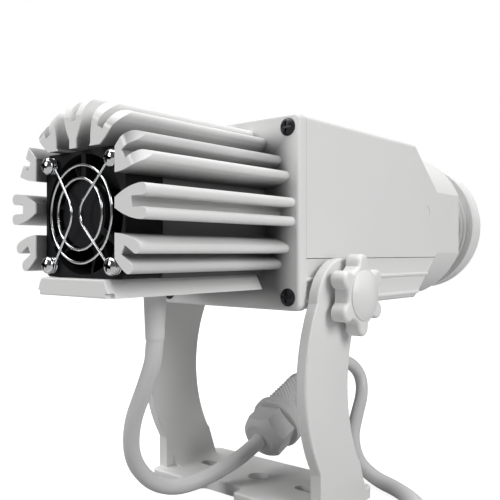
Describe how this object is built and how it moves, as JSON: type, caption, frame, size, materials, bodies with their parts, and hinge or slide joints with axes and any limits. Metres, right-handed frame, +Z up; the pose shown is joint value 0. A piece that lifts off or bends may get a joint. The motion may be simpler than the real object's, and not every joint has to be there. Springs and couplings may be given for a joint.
{
  "type": "profile spotlight",
  "caption": "Small white LED profile spotlight with a fan-cooled star heat sink, focusing front tube and yoke with star knobs.",
  "frame": {"origin": "centre of the yoke base's underside, straight under the tilt axis", "axes": "+Y the way the beam leaves, +Z up, +X right seen from behind"},
  "size_m": [0.1676, 0.2837, 0.1459],
  "materials": {
    "white_casting": "satin white powder coat over die-cast aluminium",
    "white_yoke": "satin white powder coat over cast aluminium",
    "white_knob": "moulded white plastic, satin",
    "fan_plastic": "black glass-filled plastic, matt",
    "fan_blades": "black plastic, slightly glossy",
    "guard_chrome": "bright nickel-chrome wire",
    "screw_chrome": "bright nickel-plated steel",
    "black_screw": "black oxide steel",
    "steel": "zinc-plated steel",
    "bare_aluminium": "turned aluminium",
    "copper_winding": "enamelled copper on laminated steel",
    "lens_glass": "clear polished glass",
    "gobo_glass": "dichroic-coated glass with a plain ring pattern",
    "board_white": "white solder mask on an aluminium board",
    "phosphor": "yellow phosphor under silicone",
    "board_green": "green solder mask on glass-fibre board",
    "components": "black moulded components",
    "black_rubber": "black silicone rubber",
    "cable_grey": "light grey PVC sheath, satin",
    "connector_grey": "grey nylon, fine spark texture",
    "plug_grey": "light grey moulded PVC",
    "pin_brass": "nickel-plated brass",
    "tie_black": "black nylon strap"
  },
  "bodies": {
    "yoke": {"yoke": "white_yoke", "lead_cable": "cable_grey", "connector_gland_nut": "connector_grey", "connector_socket": "connector_grey", "coupling_sleeve": "connector_grey", "connector_plug": "connector_grey", "connector_end_nut": "connector_grey", "supply_cable": "cable_grey", "supply_coil": "cable_grey", "supply_tail": "cable_grey", "coil_tie": "tie_black", "plug_body": "plug_grey", "plug_pins": "pin_brass"},
    "head": {"heat_sink": "white_casting", "duct_cover": "white_casting", "duct_screws": "steel", "cable_gland": "cable_grey", "fan_frame": "fan_plastic", "fan_motor": "copper_winding", "fan_guard": "guard_chrome", "fan_screws": "screw_chrome", "housing": "white_casting", "bottom_cover": "white_casting", "bottom_cover_screws": "steel", "flange_screws": "black_screw", "focus_lock_screw": "white_casting", "led_board": "board_white", "led_chip": "phosphor", "led_board_screws": "steel", "condenser_holder": "bare_aluminium", "condenser_lens_rear": "lens_glass", "condenser_lens_front": "lens_glass", "gobo_holder": "bare_aluminium", "gobo_disc": "gobo_glass", "gobo_ring": "steel", "flange_gasket": "black_rubber", "driver_board": "board_green", "driver_parts": "components", "driver_screws": "steel", "pivot_boss_left": "white_casting", "pivot_boss_right": "white_casting", "tilt_stud_left": "steel", "tilt_stud_right": "steel"},
    "fan": {"fan_rotor": "fan_blades", "fan_shaft": "steel"},
    "focus_slide": {"focus_seal": "black_rubber"},
    "focus_tube": {"focus_tube": "white_casting", "lens_ring": "white_casting", "rear_lens": "lens_glass", "lens_spacer": "bare_aluminium", "front_lens": "lens_glass", "front_retainer": "bare_aluminium"},
    "clamp_right": {"clamp_washer_right": "steel"},
    "knob_right": {"tilt_knob_right": "white_knob", "knob_cap_right": "white_knob"},
    "clamp_left": {"clamp_washer_left": "steel"},
    "knob_left": {"tilt_knob_left": "white_knob", "knob_cap_left": "white_knob"}
  },
  "joints": [
    {"name": "head_tilt", "type": "hinge", "parent": "yoke", "child": "head", "pos_m": [0, 0, 0.0805], "axis": [1, 0, 0], "range_deg": [-20, 50], "deforming": ["lead_cable"]},
    {"name": "fan_spin", "type": "hinge", "parent": "head", "child": "fan", "pos_m": [0, -0.087, 0.108], "axis": [0, 1, 0], "continuous": true},
    {"name": "focus_travel", "type": "slide", "parent": "head", "child": "focus_slide", "axis": [0, 1, 0], "range_m": [-0.0081, 0.0081]},
    {"name": "focus_turn", "type": "hinge", "parent": "focus_slide", "child": "focus_tube", "pos_m": [0, 0, 0.1105], "axis": [0, 1, 0], "range_deg": [-576, 576]},
    {"name": "clamp_travel_right", "type": "slide", "parent": "yoke", "child": "clamp_right", "axis": [1, 0, 0], "range_m": [0, 0.0021]},
    {"name": "knob_turn_right", "type": "hinge", "parent": "clamp_right", "child": "knob_right", "pos_m": [0, 0, 0.0805], "axis": [1, 0, 0], "range_deg": [0, 720]},
    {"name": "clamp_travel_left", "type": "slide", "parent": "yoke", "child": "clamp_left", "axis": [-1, 0, 0], "range_m": [0, 0.0021]},
    {"name": "knob_turn_left", "type": "hinge", "parent": "clamp_left", "child": "knob_left", "pos_m": [0, 0, 0.0805], "axis": [-1, 0, 0], "range_deg": [0, 720]}
  ],
  "couplings": [
    {"joint": "focus_travel", "follows": "focus_turn", "m_per_rad": 0.00079577},
    {"joint": "clamp_travel_right", "follows": "knob_turn_right", "m_per_rad": 0.00015915},
    {"joint": "clamp_travel_left", "follows": "knob_turn_left", "m_per_rad": 0.00015915}
  ]
}
